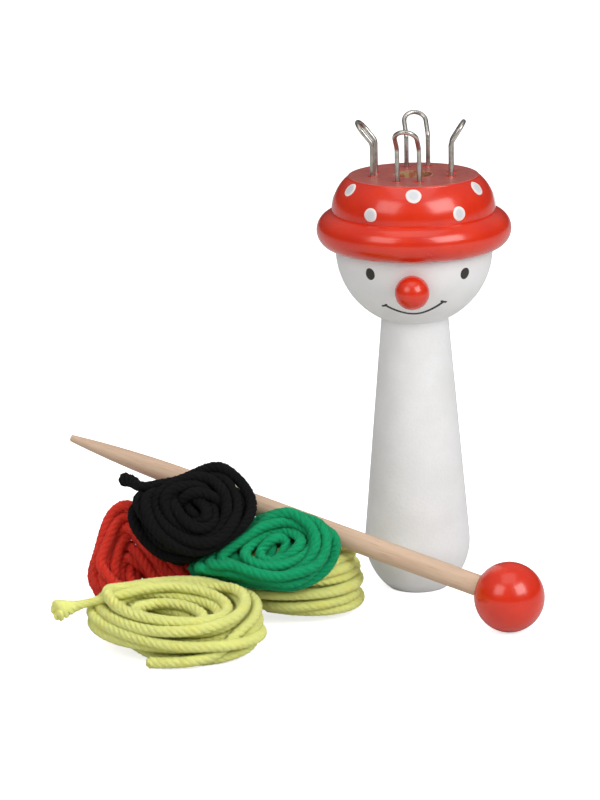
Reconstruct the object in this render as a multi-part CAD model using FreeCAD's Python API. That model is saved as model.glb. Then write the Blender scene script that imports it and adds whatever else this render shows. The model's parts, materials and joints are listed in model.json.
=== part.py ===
"""Hand spool knitter: a turned wooden mushroom doll with four wire hooks, its needle and five hanks of yarn.

The doll stands on its foot with the knitting bore on Z. Its face looks along -Y. The yarn lies in a pile
at its right hand (-X), and the needle lies across the pile with its ball on the table before the doll.
Millimetres, +Z up, origin at the centre of the foot.
"""

import FreeCAD, Part
import math
import os

V = FreeCAD.Vector
Z = V(0, 0, 1)

# ---- driving dimensions -------------------------------------------------------------------------------
# the bore that the knitted cord goes down
BORE_R = 5.5

# body: a straight cone on a rounded foot
FOOT_FLAT_R = 9.0
FOOT_BULGE_R = 13.2
FOOT_BULGE_Z = 4.9
BODY_WIDE_R = 15.7
BODY_WIDE_Z = 16.5
NECK_R = 9.95
NECK_Z = 83.2

# tenons that join the turned pieces
NECK_TENON_R = 7.6
NECK_TENON_H = 8.0
CROWN_TENON_R = 8.6
CROWN_TENON_H = 7.0
TENON_PLAY = 0.05
TENON_END_PLAY = 0.3

# head: a ball that stands on the neck, cut flat under the cap
HEAD_R = 23.2
HEAD_CENTRE_Z = NECK_Z + math.sqrt(HEAD_R ** 2 - NECK_R ** 2)
HEAD_TOP_Z = HEAD_CENTRE_Z + 0.8

# cap: a flat top, a rounded side and a rolled brim that overhangs the head
CAP_TOP_Z = HEAD_TOP_Z + 21.04
CAP_TOP_R = HEAD_R - 4.0
CAP_SIDE_Z = HEAD_TOP_Z + 17.64
CAP_SIDE_R = HEAD_R - 1.15
BRIM_ROLL_R = 5.4
BRIM_CENTRE_R = HEAD_R + 0.1
BRIM_CENTRE_Z = HEAD_TOP_Z + 4.95
CAP_ON_HEAD_PLAY = 0.25
# the crease between side and brim, above the brim's centre
CREASE_RISE = 5.35
# the small round of the top edge, out from CAP_TOP_R and up from CAP_TOP_Z
TOP_EDGE = [(-0.5, 0.0), (-0.1, -0.125), (0.2, -0.5)]

# hooks: steel wire hairpins, set in drilled holes
WIRE_D = 1.35
LEG_SPACING = 6.5
LEG_SUNK = 11.0
LEG_HOLE_PLAY = 0.04
BEND_HEIGHT = 9.6
BEND_INSIDE_R = 2.2
# bent by hand, so no two are alike: how far from Z each hook stands and which way round, the way that its
# tip leans and how far, in degrees (ways from +X), and the tip's length
HOOKS = {
    "front": (12.0, -97.0, -101.0, 42.0, 7.9),
    "right": (11.2, -4.0, -3.0, 32.0, 7.0),
    "back": (12.0, 84.0, 100.0, 42.0, 7.9),
    "left": (11.5, 177.0, 172.0, 39.0, 7.5),
}

# nose: a bead on a peg
NOSE_R = 5.0
NOSE_DROP = 17.5
NOSE_SUNK = 1.4
NOSE_PEG_R = 1.5
NOSE_PEG_LENGTH = 7.0
NOSE_SIDE = -1.6
PEG_PLAY = 0.05

# needle: a dowel sharpened at one end, with a bored ball on the other
BALL_R = 10.25
STICK_R = 3.15
BALL_BORE_DEPTH = 13.0
TIP_REACH = 140.0
TAPER_LENGTH = 42.0
TAPER_MIDDLE = 15.0
TAPER_MIDDLE_R = 2.35
TIP_R = 1.05
TIP_ROUND = 0.4
BALL_PLACE_X = 26.3
BALL_PLACE_Y = -45.2
NEEDLE_RISE = 16.1
NEEDLE_HEADING = 163.8

# how far a drill runs on past a face
DRILL_PAST = 1.0

# yarn: what keeps one hank clear of the next
YARN_GAP = 0.3
# each hank's centre, half sizes (wide, deep, thick), and its slope towards the back and to the left
# a hank with no height of its own lies on the table
HANKS = {
    "yarn_yellow_front": ((-70.3, -60.5, None), (25.0, 19.5, 8.4), 16.0, 0.0),
    "yarn_yellow_back": ((-33.5, -27.0, None), (18.0, 15.5, 9.8), 0.0, 0.0),
    "yarn_red": ((-74.5, -24.5, None), (22.5, 16.5, 18.4), 0.0, 0.0),
    "yarn_green": ((-45.0, -39.0, 24.0), (22.5, 14.0, 7.5), 48.0, 0.0),
    "yarn_black": ((-66.5, -37.0, 34.0), (19.5, 16.5, 9.5), 50.0, 8.0),
}
# where one hank is pressed flat against another: the upper one, the lower one, a point between them,
# and the way from the lower one to the upper one
PRESSED = [
    ("yarn_black", "yarn_green", (-54.5, -42.0, 27.5), (-0.60, 0.0, 0.80)),
    ("yarn_black", "yarn_red", (-72.0, -34.0, 28.0), (0.45, -0.60, 0.66)),
    ("yarn_green", "yarn_red", (-58.5, -33.5, 20.0), (0.62, -0.50, 0.60)),
    ("yarn_green", "yarn_yellow_back", (-38.0, -34.0, 17.2), (-0.30, -0.45, 0.84)),
    ("yarn_green", "yarn_yellow_front", (-57.0, -46.5, 18.0), (0.50, 0.50, 0.70)),
]
# the way from a hank to the needle that lies against it, before it is squared to the stick
NEEDLE_SIDE = {
    "yarn_green": (0.0, 0.80, 0.60),
    "yarn_black": (0.0, 0.90, 0.44),
    "yarn_red": (0.0, 0.0, 1.0),
}
FAR = 300.0
HANK_RINGS = 12
HANK_FACETS = 24


# ---- shared shapes ------------------------------------------------------------------------------------
def at(r, z):
    """A point of a turned profile, in the XZ plane."""
    return V(r, 0, z)


def line(a, b):
    return Part.LineSegment(a, b).toShape()


def arc(a, through, b):
    return Part.Arc(a, through, b).toShape()


def turned(edges):
    """A solid turned about Z from a closed profile."""
    face = Part.Face(Part.Wire(edges))
    return face.revolve(V(0, 0, 0), Z, 360)


def rod(r, start, direction, length):
    return Part.makeCylinder(r, length, start, direction)


# ---- turned pieces ------------------------------------------------------------------------------------
def make_body():
    tenon_top = NECK_Z + NECK_TENON_H - TENON_END_PLAY
    tenon_r = NECK_TENON_R - TENON_PLAY
    return turned([
        line(at(BORE_R, 0), at(FOOT_FLAT_R, 0)),
        arc(at(FOOT_FLAT_R, 0), at(FOOT_BULGE_R, FOOT_BULGE_Z), at(BODY_WIDE_R, BODY_WIDE_Z)),
        line(at(BODY_WIDE_R, BODY_WIDE_Z), at(NECK_R, NECK_Z)),
        line(at(NECK_R, NECK_Z), at(tenon_r, NECK_Z)),
        line(at(tenon_r, NECK_Z), at(tenon_r, tenon_top)),
        line(at(tenon_r, tenon_top), at(BORE_R, tenon_top)),
        line(at(BORE_R, tenon_top), at(BORE_R, 0)),
    ])


def nose_axis():
    """The nose's way out of the head, and the place of its centre."""
    drop = math.radians(NOSE_DROP)
    side = math.radians(NOSE_SIDE)
    out = V(math.sin(side) * math.cos(drop), -math.cos(side) * math.cos(drop), -math.sin(drop))
    centre = V(0, 0, HEAD_CENTRE_Z) + out * (HEAD_R + NOSE_R - NOSE_SUNK)
    return out, centre


def make_head():
    socket_top = NECK_Z + NECK_TENON_H
    tenon_top = HEAD_TOP_Z + CROWN_TENON_H - TENON_END_PLAY
    tenon_r = CROWN_TENON_R - TENON_PLAY
    top_r = math.sqrt(HEAD_R ** 2 - (HEAD_TOP_Z - HEAD_CENTRE_Z) ** 2)
    head = turned([
        line(at(NECK_TENON_R, NECK_Z), at(NECK_R, NECK_Z)),
        arc(at(NECK_R, NECK_Z), at(HEAD_R, HEAD_CENTRE_Z), at(top_r, HEAD_TOP_Z)),
        line(at(top_r, HEAD_TOP_Z), at(tenon_r, HEAD_TOP_Z)),
        line(at(tenon_r, HEAD_TOP_Z), at(tenon_r, tenon_top)),
        line(at(tenon_r, tenon_top), at(BORE_R, tenon_top)),
        line(at(BORE_R, tenon_top), at(BORE_R, socket_top)),
        line(at(BORE_R, socket_top), at(NECK_TENON_R, socket_top)),
        line(at(NECK_TENON_R, socket_top), at(NECK_TENON_R, NECK_Z)),
    ])
    # the nose sits in a shallow dish with a peg hole in its middle
    out, centre = nose_axis()
    dish = Part.makeSphere(NOSE_R + PEG_PLAY, centre)
    hole = rod(NOSE_PEG_R + PEG_PLAY, centre, out * -1, NOSE_R + NOSE_PEG_LENGTH)
    return head.cut(dish).cut(hole)


def make_nose():
    out, centre = nose_axis()
    peg = rod(NOSE_PEG_R, centre, out * -1, NOSE_R + NOSE_PEG_LENGTH - TENON_END_PLAY)
    return Part.makeSphere(NOSE_R, centre).fuse(peg).removeSplitter()


def make_cap():
    pocket_r = HEAD_R + CAP_ON_HEAD_PLAY
    lip_z = BRIM_CENTRE_Z - math.sqrt(BRIM_ROLL_R ** 2 - (pocket_r - BRIM_CENTRE_R) ** 2)
    socket_top = HEAD_TOP_Z + CROWN_TENON_H
    # the side's arc ends in the crease, where the rolled brim begins
    crease = at(BRIM_CENTRE_R + math.sqrt(BRIM_ROLL_R ** 2 - CREASE_RISE ** 2), BRIM_CENTRE_Z + CREASE_RISE)
    edge = [at(CAP_TOP_R + out, CAP_TOP_Z + up) for out, up in TOP_EDGE]
    cap = turned([
        line(at(BORE_R, socket_top), at(BORE_R, CAP_TOP_Z)),
        line(at(BORE_R, CAP_TOP_Z), edge[0]),
        arc(*edge),
        arc(edge[-1], at(CAP_SIDE_R, CAP_SIDE_Z), crease),
        arc(crease, at(BRIM_CENTRE_R + BRIM_ROLL_R, BRIM_CENTRE_Z), at(pocket_r, lip_z)),
        line(at(pocket_r, lip_z), at(pocket_r, HEAD_TOP_Z)),
        line(at(pocket_r, HEAD_TOP_Z), at(CROWN_TENON_R, HEAD_TOP_Z)),
        line(at(CROWN_TENON_R, HEAD_TOP_Z), at(CROWN_TENON_R, socket_top)),
        line(at(CROWN_TENON_R, socket_top), at(BORE_R, socket_top)),
    ])
    for away, place, lean, _, _ in HOOKS.values():
        for leg in leg_places(away, place, lean):
            bottom = leg + V(0, 0, CAP_TOP_Z - LEG_SUNK)
            cap = cap.cut(rod(WIRE_D / 2 + LEG_HOLE_PLAY, bottom, Z, LEG_SUNK + DRILL_PAST))
    return cap


# ---- hooks --------------------------------------------------------------------------------------------
def leg_places(away, place, lean):
    """Where a hook's two legs go into the cap, in the XY plane."""
    middle = V(math.cos(math.radians(place)), math.sin(math.radians(place)), 0) * away
    across = V(-math.sin(math.radians(lean)), math.cos(math.radians(lean)), 0) * (LEG_SPACING / 2)
    return [middle - across, middle + across]


def make_hook(away, place, lean, tilt, tip_length):
    """A hairpin whose loop leans outwards above a bend in both legs."""
    left, right = leg_places(away, place, lean)
    out = V(math.cos(math.radians(lean)), math.sin(math.radians(lean)), 0)
    tilt = math.radians(tilt)
    up = Z * math.cos(tilt) + out * math.sin(tilt)
    bend_r = BEND_INSIDE_R + WIRE_D / 2
    setback = bend_r * math.tan(tilt / 2)
    corner_z = CAP_TOP_Z + BEND_HEIGHT
    # the bend's middle lies on the line from its centre to the corner
    reach = bend_r / math.cos(tilt / 2) - bend_r
    inward = (up - Z).normalize()

    def leg(foot):
        corner = V(foot.x, foot.y, corner_z)
        start = V(foot.x, foot.y, CAP_TOP_Z - LEG_SUNK)
        below = corner - Z * setback
        above = corner + up * setback
        middle = corner + inward * reach
        shoulder = corner + up * (tip_length - LEG_SPACING / 2)
        return start, below, middle, above, shoulder

    s1, b1, m1, a1, t1 = leg(left)
    s2, b2, m2, a2, t2 = leg(right)
    crown = (t1 + t2) * 0.5 + up * (LEG_SPACING / 2)
    path = Part.Wire([line(s1, b1), arc(b1, m1, a1), line(a1, t1), arc(t1, crown, t2),
                      line(t2, a2), arc(a2, m2, b2), line(b2, s2)])
    section = Part.Wire(Part.Circle(s1, Z, WIRE_D / 2).toShape())
    return path.makePipeShell([section], True, False)


# ---- needle -------------------------------------------------------------------------------------------
def needle_line():
    """The needle's ball centre, and its way from the ball to the tip."""
    rise = math.radians(NEEDLE_RISE)
    heading = math.radians(NEEDLE_HEADING)
    way = V(math.cos(heading) * math.cos(rise), math.sin(heading) * math.cos(rise), math.sin(rise))
    return V(BALL_PLACE_X, BALL_PLACE_Y, BALL_R), way


def lay(shape):
    """Turn a piece made along +Z from the ball's centre into the needle's place."""
    centre, way = needle_line()
    shape.Placement = FreeCAD.Placement(centre, FreeCAD.Rotation(Z, way))
    return shape


def stick_foot():
    return BALL_R - BALL_BORE_DEPTH


def make_needle_stick():
    taper_z = TIP_REACH - TAPER_LENGTH
    round_z = TIP_REACH - TIP_ROUND
    flat_r = TIP_R - TIP_ROUND
    slant = TIP_ROUND * math.sqrt(0.5)
    return lay(turned([
        line(at(0, stick_foot()), at(STICK_R, stick_foot())),
        line(at(STICK_R, stick_foot()), at(STICK_R, taper_z)),
        arc(at(STICK_R, taper_z), at(TAPER_MIDDLE_R, TIP_REACH - TAPER_MIDDLE), at(TIP_R, round_z)),
        arc(at(TIP_R, round_z), at(flat_r + slant, round_z + slant), at(flat_r, TIP_REACH)),
        line(at(flat_r, TIP_REACH), at(0, TIP_REACH)),
        line(at(0, TIP_REACH), at(0, stick_foot())),
    ]))


def make_needle_ball():
    bore = rod(STICK_R + PEG_PLAY, V(0, 0, stick_foot()), Z, BALL_R * 2)
    return lay(Part.makeSphere(BALL_R).cut(bore))


# ---- yarn ---------------------------------------------------------------------------------------------
def hank_matrix(centre, half, back_slope, left_slope):
    """The stretch, turn and move that make a hank's outer shape from a ball of radius 1."""
    x, y, z = centre
    m = FreeCAD.Matrix()
    m.scale(*half)
    m.rotateY(math.radians(left_slope))
    m.rotateX(math.radians(back_slope))
    if z is None:
        # its lowest point touches the table
        z = math.sqrt(m.A31 ** 2 + m.A32 ** 2 + m.A33 ** 2)
    m.move(V(x, y, z))
    return m


def flat_sided(*corners):
    return Part.Face(Part.makePolygon([*corners, corners[0]]))


def faceted_hank(m):
    """A hank's outer shape, as a ball of flat facets under a hank's matrix."""
    def point(ring, step):
        down, turn = math.pi * ring / HANK_RINGS, 2 * math.pi * step / HANK_FACETS
        return m.multVec(V(math.sin(down) * math.cos(turn), math.sin(down) * math.sin(turn), math.cos(down)))

    faces = []
    for step in range(HANK_FACETS):
        faces.append(flat_sided(point(0, 0), point(1, step), point(1, step + 1)))
        faces.append(flat_sided(point(HANK_RINGS, 0), point(HANK_RINGS - 1, step + 1),
                                point(HANK_RINGS - 1, step)))
        for ring in range(1, HANK_RINGS - 1):
            faces.append(flat_sided(point(ring, step), point(ring + 1, step),
                                    point(ring + 1, step + 1), point(ring, step + 1)))
    solid = Part.Solid(Part.Shell(faces))
    if solid.Volume < 0:
        solid.reverse()
    return solid


def beyond(point, way):
    """All the room on the far side of a plane."""
    room = Part.makeBox(2 * FAR, 2 * FAR, FAR, V(-FAR, -FAR, 0))
    room.Placement = FreeCAD.Placement(point, FreeCAD.Rotation(Z, way))
    return room


def needle_plane(side):
    """The plane that touches the stick, less the gap, on the side of a hank that lies against it."""
    centre, way = needle_line()
    side = V(*side)
    side = (side - way * side.dot(way)).normalize()
    return centre - side * (STICK_R + YARN_GAP), side


def pressed_planes(name):
    """The planes that a hank stays behind, each as a point and the way out."""
    planes = []
    for upper, lower, point, way in PRESSED:
        way = V(*way).normalize()
        step = way * (YARN_GAP / 2)
        if name == upper:
            planes.append((V(*point) + step, way * -1))
        if name == lower:
            planes.append((V(*point) - step, way))
    if name in NEEDLE_SIDE:
        planes.append(needle_plane(NEEDLE_SIDE[name]))
    return planes


def make_hank(name):
    hank = faceted_hank(hank_matrix(*HANKS[name]))
    for point, way in pressed_planes(name):
        hank = hank.cut(beyond(point, way))
    return hank.Solids[0]


# ---- the whole set ------------------------------------------------------------------------------------
def make_all():
    parts = {
        "body": make_body(),
        "head": make_head(),
        "cap": make_cap(),
        "nose": make_nose(),
        "needle_stick": make_needle_stick(),
        "needle_ball": make_needle_ball(),
    }
    for name, bent in HOOKS.items():
        parts["hook_" + name] = make_hook(*bent)
    for name in HANKS:
        parts[name] = make_hank(name)
    return parts


os.makedirs("parts", exist_ok=True)
for name, shape in make_all().items():
    shape.exportStep(os.path.join("parts", name + ".step"))
    box = shape.BoundBox
    print(f"{name:20s} solids {len(shape.Solids)} valid {shape.isValid()} volume {shape.Volume:9.1f}"
          f"  x {box.XMin:7.1f} {box.XMax:6.1f}  y {box.YMin:6.1f} {box.YMax:6.1f}"
          f"  z {box.ZMin:6.2f} {box.ZMax:6.1f}")
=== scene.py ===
"""A hand spool knitter: a turned wooden mushroom doll with wire hooks, its needle and five hanks of yarn.

The doll, the hooks and the needle are the fixed frame's own pieces and get their finishes here. The paint
marks are thin drops laid on the wood, and each hank is one long plied yarn in place of its plain solid.
"""
import json
import math

import bpy
import numpy as np
from mathutils import Matrix, Vector
from mathutils.bvhtree import BVHTree

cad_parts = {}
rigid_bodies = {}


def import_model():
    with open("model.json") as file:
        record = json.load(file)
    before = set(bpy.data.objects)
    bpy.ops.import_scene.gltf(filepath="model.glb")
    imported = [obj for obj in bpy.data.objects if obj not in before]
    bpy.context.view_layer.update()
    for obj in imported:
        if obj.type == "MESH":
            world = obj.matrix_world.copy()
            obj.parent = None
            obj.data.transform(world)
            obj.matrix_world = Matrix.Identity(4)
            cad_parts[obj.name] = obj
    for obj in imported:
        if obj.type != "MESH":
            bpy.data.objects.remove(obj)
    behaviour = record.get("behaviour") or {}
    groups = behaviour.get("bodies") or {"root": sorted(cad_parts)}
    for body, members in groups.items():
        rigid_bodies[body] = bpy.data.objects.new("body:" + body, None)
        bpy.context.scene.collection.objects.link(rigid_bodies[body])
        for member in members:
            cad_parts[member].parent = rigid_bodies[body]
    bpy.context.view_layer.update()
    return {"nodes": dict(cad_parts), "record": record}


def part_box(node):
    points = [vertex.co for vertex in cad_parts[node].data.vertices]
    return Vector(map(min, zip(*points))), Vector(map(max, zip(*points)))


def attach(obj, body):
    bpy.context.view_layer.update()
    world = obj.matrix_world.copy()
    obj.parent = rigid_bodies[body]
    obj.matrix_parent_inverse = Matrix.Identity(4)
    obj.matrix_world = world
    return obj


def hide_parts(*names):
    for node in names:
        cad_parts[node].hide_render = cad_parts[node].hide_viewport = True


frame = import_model()
MM = 0.001

# ---- sizes read from the frame ------------------------------------------------------------------------
head_low, head_high = (np.array(corner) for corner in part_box("head"))
BORE_R = frame["record"]["mounts"][1]["dims"]["r_mm"] * MM
CAP_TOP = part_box("cap")[1][2]
HEAD_R = head_high[0]
# the head's ball is cut flat where the neck meets it
NECK_R = 0.00995
HEAD_CENTRE = np.array([0.0, 0.0, head_low[2] + math.sqrt(HEAD_R ** 2 - NECK_R ** 2)])


# ---- building blocks for materials --------------------------------------------------------------------
class Tree:
    """A node tree with short calls: add a node, set its inputs, link."""

    def __init__(self, tree):
        self.tree = tree
        tree.nodes.clear()

    def add(self, kind, inputs=None, **settings):
        node = self.tree.nodes.new(kind)
        for name, value in settings.items():
            setattr(node, name, value)
        for name, value in (inputs or {}).items():
            self.put(node.inputs[name], value)
        return node

    def put(self, socket, value):
        if isinstance(value, bpy.types.NodeSocket):
            self.tree.links.new(value, socket)
        else:
            socket.default_value = value

    def math(self, operation, a, b=0.0, c=0.0, clamp=False):
        node = self.add("ShaderNodeMath", {0: a, 1: b, 2: c}, operation=operation, use_clamp=clamp)
        return node.outputs[0]

    def mix(self, factor, a, b):
        node = self.add("ShaderNodeMix", {0: factor, 6: a, 7: b}, data_type="RGBA")
        return node.outputs[2]

    def ramp(self, value, low, high):
        """0 below low, 1 above high, smooth between."""
        node = self.add("ShaderNodeMapRange", {0: value, 1: low, 2: high}, interpolation_type="SMOOTHSTEP")
        return node.outputs[0]

    def noise(self, vector, scale, detail=2.0, roughness=0.5):
        return self.add("ShaderNodeTexNoise", {"Vector": vector, "Scale": scale, "Detail": detail,
                                               "Roughness": roughness}).outputs[0]

    def bump(self, height, distance, strength=1.0, normal=None):
        inputs = {"Height": height, "Distance": distance, "Strength": strength}
        if normal is not None:
            inputs["Normal"] = normal
        return self.add("ShaderNodeBump", inputs).outputs[0]

    def objects(self):
        return self.add("ShaderNodeTexCoord").outputs["Object"]


def group(name, inputs, outputs, build):
    """A shader node group. inputs maps a name to (kind, default); build gets the tree and its inputs."""
    tree = bpy.data.node_groups.new(name, "ShaderNodeTree")
    kinds = {"value": "NodeSocketFloat", "color": "NodeSocketColor", "vector": "NodeSocketVector"}
    for label, (kind, default) in inputs.items():
        socket = tree.interface.new_socket(label, in_out="INPUT", socket_type=kinds[kind])
        if default is not None:
            socket.default_value = default
    for label, kind in outputs.items():
        tree.interface.new_socket(label, in_out="OUTPUT", socket_type=kinds[kind])
    t = Tree(tree)
    start = t.add("NodeGroupInput")
    results = build(t, {label: start.outputs[label] for label in inputs})
    end = t.add("NodeGroupOutput")
    for label, value in results.items():
        t.put(end.inputs[label], value)
    return tree


def use(t, tree, inputs):
    node = t.add("ShaderNodeGroup", node_tree=tree)
    for name, value in inputs.items():
        t.put(node.inputs[name], value)
    return node.outputs


def material(name, build, **principled):
    """A material whose surface is one Principled shader; build returns its linked inputs."""
    made = bpy.data.materials.new(name)
    made.use_nodes = True
    t = Tree(made.node_tree)
    shader = t.add("ShaderNodeBsdfPrincipled")
    for label, value in principled.items():
        shader.inputs[label.replace("_", " ")].default_value = value
    for label, value in build(t).items():
        t.put(shader.inputs[label], value)
    out = t.add("ShaderNodeOutputMaterial")
    t.put(out.inputs["Surface"], shader.outputs[0])
    return made


# ---- shared effects -----------------------------------------------------------------------------------
def build_wood(t, ins):
    """Fine straight grain that runs along Z of the vector it is given, with short dark pores."""
    stretched = t.add("ShaderNodeMapping", {"Vector": ins["Vector"], "Scale": (1.0, 1.0, 0.06)}).outputs[0]
    bands = t.noise(stretched, 420.0, 3.0, 0.6)
    pores = t.noise(stretched, 2600.0, 1.0)
    pore_mask = t.ramp(pores, 0.60, 0.72)
    color = t.mix(t.ramp(bands, 0.30, 0.75), ins["Light"], ins["Dark"])
    darker = t.mix(t.math("MULTIPLY", pore_mask, 0.35), color, ins["Pore"])
    height = t.math("ADD", t.math("MULTIPLY", bands, 0.5), t.math("MULTIPLY", pore_mask, -0.5))
    return {"Color": darker, "Height": height}


def build_lacquer(t, ins):
    """Sprayed lacquer: a faint orange peel, cloudy tone and a few specks."""
    peel = t.noise(ins["Vector"], ins["Peel Scale"], 2.0, 0.55)
    cloud = t.noise(ins["Vector"], 90.0, 3.0)
    speck = t.ramp(t.noise(ins["Vector"], 1500.0, 1.0), 0.66, 0.74)
    tone = t.mix(t.ramp(cloud, 0.35, 0.70), ins["Color"], ins["Shade"])
    mottled = t.mix(t.math("MULTIPLY", t.ramp(peel, 0.42, 0.68), ins["Mottle"]), tone, ins["Shade"])
    height = t.math("ADD", peel, t.math("MULTIPLY", speck, 0.25))
    return {"Color": mottled, "Height": height, "Cloud": cloud}


def build_bare_bore(t, ins):
    """1 where the wood was bored after the paint: inside the radius."""
    parts = t.add("ShaderNodeSeparateXYZ", {0: ins["Vector"]}).outputs
    across = t.math("SQRT", t.math("ADD", t.math("MULTIPLY", parts[0], parts[0]),
                                   t.math("MULTIPLY", parts[1], parts[1])))
    ragged = t.math("MULTIPLY", t.math("SUBTRACT", t.noise(ins["Vector"], 900.0), 0.5), ins["Ragged"])
    inside = t.math("SUBTRACT", 1.0, t.ramp(t.math("ADD", across, ragged), ins["Radius"],
                                            t.math("ADD", ins["Radius"], 0.00012)))
    return {"Mask": inside}


wood_grain = group("wood_grain", {"Vector": ("vector", None), "Light": ("color", (0.76, 0.58, 0.44, 1)),
                                  "Dark": ("color", (0.62, 0.42, 0.29, 1)),
                                  "Pore": ("color", (0.36, 0.21, 0.13, 1))},
                   {"Color": "color", "Height": "value"}, build_wood)
lacquer_film = group("lacquer_film", {"Vector": ("vector", None), "Color": ("color", (0.8, 0.8, 0.8, 1)),
                                      "Shade": ("color", (0.7, 0.7, 0.7, 1)), "Peel Scale": ("value", 900.0),
                                      "Mottle": ("value", 0.3)},
                     {"Color": "color", "Height": "value", "Cloud": "value"}, build_lacquer)
bare_bore = group("bare_bore", {"Vector": ("vector", None), "Radius": ("value", 0.0057),
                                "Ragged": ("value", 0.0004)}, {"Mask": "value"}, build_bare_bore)


# ---- finishes -----------------------------------------------------------------------------------------
def white_paint(name, peel_scale, mottle, depth, roughness):
    """Matt white lacquer over wood, with the bore left bare."""
    def build(t):
        where = t.objects()
        film = use(t, lacquer_film, {"Vector": where, "Color": (0.81, 0.81, 0.81, 1),
                                     "Shade": (0.76, 0.76, 0.755, 1), "Peel Scale": peel_scale,
                                     "Mottle": mottle})
        wood = use(t, wood_grain, {"Vector": where})
        bare = use(t, bare_bore, {"Vector": where, "Radius": BORE_R * 1.03, "Ragged": 0.0003})["Mask"]
        color = t.mix(bare, film["Color"], wood["Color"])
        rough = t.math("ADD", t.math("MULTIPLY", film["Cloud"], 0.12), roughness)
        normal = t.bump(film["Height"], depth, 0.8)
        return {"Base Color": color, "Roughness": t.math("MAXIMUM", rough, t.math("MULTIPLY", bare, 0.7)),
                "Normal": normal}
    return material(name, build, Specular_IOR_Level=0.4)


def red_paint(name, top=None, bore=False):
    """Gloss red lacquer. Where the top was faced off after dipping, it is thinner and duller, and it is
    painted darker too: painted shade for the dim, grazing light and reflection that the flat top gets.
    """
    def build(t):
        where = t.objects()
        film = use(t, lacquer_film, {"Vector": where, "Color": (0.70, 0.028, 0.003, 1),
                                     "Shade": (0.62, 0.020, 0.003, 1), "Peel Scale": 420.0, "Mottle": 0.25})
        color = film["Color"]
        rough = t.math("ADD", t.math("MULTIPLY", film["Cloud"], 0.08), 0.22)
        height = t.math("MULTIPLY", film["Height"], 0.5)
        if top is not None:
            # the flat top: painted darker and browner with its grain showing, partly painted shade for the
            # top's dim grazing light and partly thinner paint; it is also rougher
            level = t.add("ShaderNodeSeparateXYZ", {0: where}).outputs[2]
            flat = t.ramp(level, top - 0.00025, top - 0.00010)
            wood = use(t, wood_grain, {"Vector": where, "Light": (0.47, 0.125, 0.100, 1),
                                       "Dark": (0.38, 0.085, 0.068, 1), "Pore": (0.25, 0.03, 0.02, 1)})
            color = t.mix(t.math("MULTIPLY", flat, 0.85), color, wood["Color"])
            rough = t.math("ADD", rough, t.math("MULTIPLY", flat, 0.12))
        if bore:
            cut = use(t, wood_grain, {"Vector": where, "Light": (0.50, 0.36, 0.16, 1),
                                      "Dark": (0.42, 0.20, 0.12, 1)})
            stain = t.ramp(t.noise(where, 420.0, 3.0), 0.42, 0.60)
            inside = t.mix(stain, cut["Color"], (0.40, 0.09, 0.05, 1))
            bare = use(t, bare_bore, {"Vector": where, "Radius": BORE_R * 1.04, "Ragged": 0.0016})["Mask"]
            color = t.mix(bare, color, inside)
            rough = t.math("MAXIMUM", rough, t.math("MULTIPLY", bare, 0.7))
        return {"Base Color": color, "Roughness": rough, "Normal": t.bump(height, 0.00004, 0.6)}
    return material(name, build, Coat_Weight=0.35, Coat_Roughness=0.12)


def steel_wire():
    def build(t):
        where = t.objects()
        drawn = t.add("ShaderNodeMapping", {"Vector": where, "Scale": (1.0, 1.0, 0.05)}).outputs[0]
        lines = t.noise(drawn, 6000.0, 1.0)
        cloud = t.noise(where, 500.0, 2.0)
        color = t.mix(t.ramp(cloud, 0.35, 0.7), (0.56, 0.53, 0.48, 1), (0.40, 0.37, 0.33, 1))
        rough = t.math("ADD", t.math("MULTIPLY", cloud, 0.14), 0.26)
        return {"Base Color": color, "Roughness": rough, "Normal": t.bump(lines, 0.00001, 0.5)}
    return material("steel_wire", build, Metallic=1.0)


def bare_wood(along):
    """Sanded dowel, with its grain along the stick."""
    def build(t):
        where = t.objects()
        z_way = Vector((0, 0, 1)).rotation_difference(Vector(along)).inverted().to_euler()
        turned = t.add("ShaderNodeMapping", {"Vector": where, "Rotation": z_way[:]}).outputs[0]
        wood = use(t, wood_grain, {"Vector": turned, "Light": (0.63, 0.455, 0.320, 1),
                                   "Dark": (0.52, 0.350, 0.235, 1)})
        return {"Base Color": wood["Color"], "Roughness": t.math("ADD", 0.55, t.math(
            "MULTIPLY", wood["Height"], 0.2)), "Normal": t.bump(wood["Height"], 0.00003, 0.7)}
    return material("bare_wood", build)


def paint_mark(name, color, shade, middle, roughness):
    """A thick dab of paint, with a painted reflection in its middle: the middle colour stands in for the room
    mirrored in the glossy drop.
    """
    def build(t):
        where = t.objects()
        film = use(t, lacquer_film, {"Vector": where, "Color": color, "Shade": shade, "Peel Scale": 700.0,
                                     "Mottle": 0.3})
        # painted reflection: the middle of the mark is mixed towards the middle colour, and the rim keeps the
        # paint's own colour
        rim = t.ramp(t.add("ShaderNodeAttribute", attribute_name="rim").outputs["Fac"], 0.45, 0.85)
        tone = t.mix(rim, middle, film["Color"])
        rough = t.math("ADD", t.math("MULTIPLY", film["Cloud"], 0.1), roughness)
        return {"Base Color": tone, "Roughness": rough, "Normal": t.bump(film["Height"], 0.00003, 0.5)}
    return material(name, build)


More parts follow.
